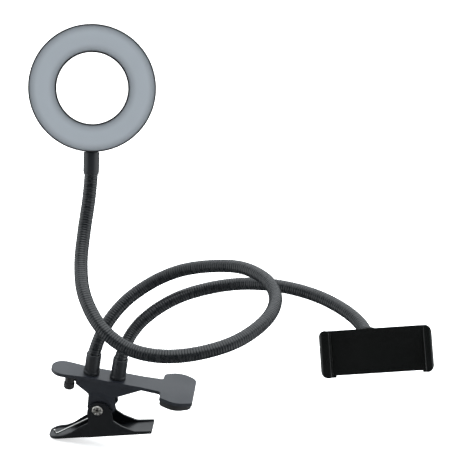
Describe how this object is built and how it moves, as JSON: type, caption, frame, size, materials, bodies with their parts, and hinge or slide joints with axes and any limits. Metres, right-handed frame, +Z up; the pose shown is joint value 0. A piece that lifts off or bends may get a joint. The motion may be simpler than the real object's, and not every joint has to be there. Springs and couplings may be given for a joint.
{
  "type": "clip-on ring light",
  "caption": "Small ring light on a looping flexible arm, with a spring phone holder on a second arm, both rising from a spring clip.",
  "frame": {"origin": "middle of the upper jaw pad's gripping face", "axes": "+X along the clip from the handles to the jaw, +Y away from the user's side, +Z up through the upper lever"},
  "size_m": [0.3167, 0.1498, 0.3269],
  "materials": {
    "lever_grey": "satin moulded plastic with a blue-grey sheen",
    "pad_rubber": "soft matt rubber",
    "ferrule_black": "satin black",
    "plated_steel": "zinc plated",
    "gland_black": "matt black",
    "nickel": "bright nickel plate",
    "spring_steel": "bright drawn wire",
    "lower_black": "satin black plastic",
    "arm_cover": "black ribbed cover over a bendable metal core",
    "lead_black": "matt black",
    "ring_black": "satin black",
    "diffuser_white": "frosted, softly domed",
    "board_white": "white solder mask",
    "led_warm": "clear resin over yellow phosphor",
    "screw_steel": "bright",
    "stud_black": "black",
    "seat_grey": "natural acetal",
    "holder_black": "deep satin black",
    "jaw_rubber": "ribbed rubber"
  },
  "bodies": {
    "clip": {"upper_lever": "lever_grey", "upper_jaw_pad": "pad_rubber", "ring_arm_ferrule": "ferrule_black", "phone_arm_ferrule": "ferrule_black", "ferrule_nuts": "plated_steel", "cable_gland": "gland_black", "pivot_rivet": "nickel", "upper_spring_half": "spring_steel", "ring_arm_1": "arm_cover", "ring_lead_1": "lead_black", "phone_arm_1": "arm_cover"},
    "lower_clip": {"lower_lever": "lower_black", "lower_spring_half": "spring_steel"},
    "ring_arm_2": {"ring_arm_2": "arm_cover", "ring_lead_2": "lead_black"},
    "ring_arm_3": {"ring_arm_3": "arm_cover", "ring_lead_3": "lead_black"},
    "ring_arm_4": {"ring_arm_4": "arm_cover", "ring_lead_4": "lead_black"},
    "ring_arm_5": {"ring_arm_5": "arm_cover", "ring_lead_5": "lead_black"},
    "ring_arm_6": {"ring_arm_6": "arm_cover", "ring_lead_6": "lead_black"},
    "ring_head": {"ring_arm_7": "arm_cover", "ring_lead_7": "lead_black", "ring_neck": "ferrule_black", "ring_neck_nut": "plated_steel", "ring_housing": "ring_black", "ring_back_cover": "ring_black", "cover_screws": "screw_steel", "diffuser": "diffuser_white", "led_board": "board_white", "board_screws": "screw_steel", "leds": "led_warm"},
    "phone_arm_2": {"phone_arm_2": "arm_cover"},
    "phone_arm_3": {"phone_arm_3": "arm_cover"},
    "phone_arm_end": {"phone_arm_4": "arm_cover", "ball_stud": "stud_black"},
    "ball_seat": {"ball_seat": "seat_grey"},
    "phone_holder": {"holder_front_plate": "holder_black", "holder_back_shell": "holder_black", "holder_screws": "screw_steel", "jaw_spring": "spring_steel", "fixed_jaw": "holder_black", "fixed_jaw_pad": "jaw_rubber"},
    "lock_nut": {"ball_lock_nut": "holder_black"},
    "sliding_jaw": {"sliding_jaw": "holder_black", "sliding_jaw_pad": "jaw_rubber"}
  },
  "joints": [
    {"name": "clip_pivot", "type": "hinge", "parent": "clip", "child": "lower_clip", "pos_m": [-0.058, 0, -0.0195], "axis": [0, 1, 0], "range_deg": [0, 35], "stiffness_Nm_per_rad": 0.5, "springref_deg": -34.38},
    {"name": "ring_arm_lean", "type": "hinge", "parent": "clip", "child": "ring_arm_2", "pos_m": [-0.06497, 0.00498, 0.03838], "axis": [1, 0, 0], "range_deg": [-15, 12]},
    {"name": "ring_arm_lift", "type": "hinge", "parent": "ring_arm_2", "child": "ring_arm_3", "pos_m": [-0.015, 0.03, 0.091], "axis": [0, 1, 0], "range_deg": [-12, 12]},
    {"name": "ring_arm_swing", "type": "hinge", "parent": "ring_arm_3", "child": "ring_arm_4", "pos_m": [0.058, -0.033, 0.113], "axis": [0, 0, 1], "range_deg": [-15, 15]},
    {"name": "ring_arm_front_lift", "type": "hinge", "parent": "ring_arm_4", "child": "ring_arm_5", "pos_m": [-0.013, -0.102, 0.0895], "axis": [0, 1, 0], "range_deg": [-15, 15]},
    {"name": "ring_arm_riser_bend", "type": "hinge", "parent": "ring_arm_5", "child": "ring_arm_6", "pos_m": [-0.07881, -0.05488, 0.11112], "axis": [-0.9573, -0.2891, 0], "range_deg": [-20, 20]},
    {"name": "ring_nod", "type": "hinge", "parent": "ring_arm_6", "child": "ring_head", "pos_m": [-0.086, -0.014, 0.154], "axis": [1, 0, 0], "range_deg": [-30, 30]},
    {"name": "phone_arm_lean", "type": "hinge", "parent": "clip", "child": "phone_arm_2", "pos_m": [-0.04417, 0.00898, 0.0363], "axis": [1, 0, 0], "range_deg": [-12, 15]},
    {"name": "phone_arm_swing", "type": "hinge", "parent": "phone_arm_2", "child": "phone_arm_3", "pos_m": [0.02106, 0.03812, 0.082], "axis": [0, 0, 1], "range_deg": [-20, 20]},
    {"name": "phone_arm_lift", "type": "hinge", "parent": "phone_arm_3", "child": "phone_arm_end", "pos_m": [0.10308, -0.00336, 0.10296], "axis": [0.6643, 0.7475, 0], "range_deg": [-25, 25]},
    {"name": "holder_tilt", "type": "hinge", "parent": "phone_arm_end", "child": "ball_seat", "pos_m": [0.1286, -0.0441, 0.1013], "axis": [0.734, 0.2384, 0.6359], "range_deg": [-1, 75]},
    {"name": "holder_spin", "type": "hinge", "parent": "ball_seat", "child": "phone_holder", "pos_m": [0.1286, -0.0441, 0.1013], "axis": [0.1122, 0.8809, -0.4598], "continuous": true},
    {"name": "lock_nut_turn", "type": "hinge", "parent": "phone_holder", "child": "lock_nut", "pos_m": [0.1286, -0.0441, 0.1013], "axis": [0.1122, 0.8809, -0.4598], "range_deg": [0, 180]},
    {"name": "jaw_slide", "type": "slide", "parent": "phone_holder", "child": "sliding_jaw", "axis": [-0.9635, -0.0168, -0.2672], "range_m": [0, 0.022], "stiffness_N_per_m": 120, "springref_m": -0.02}
  ]
}
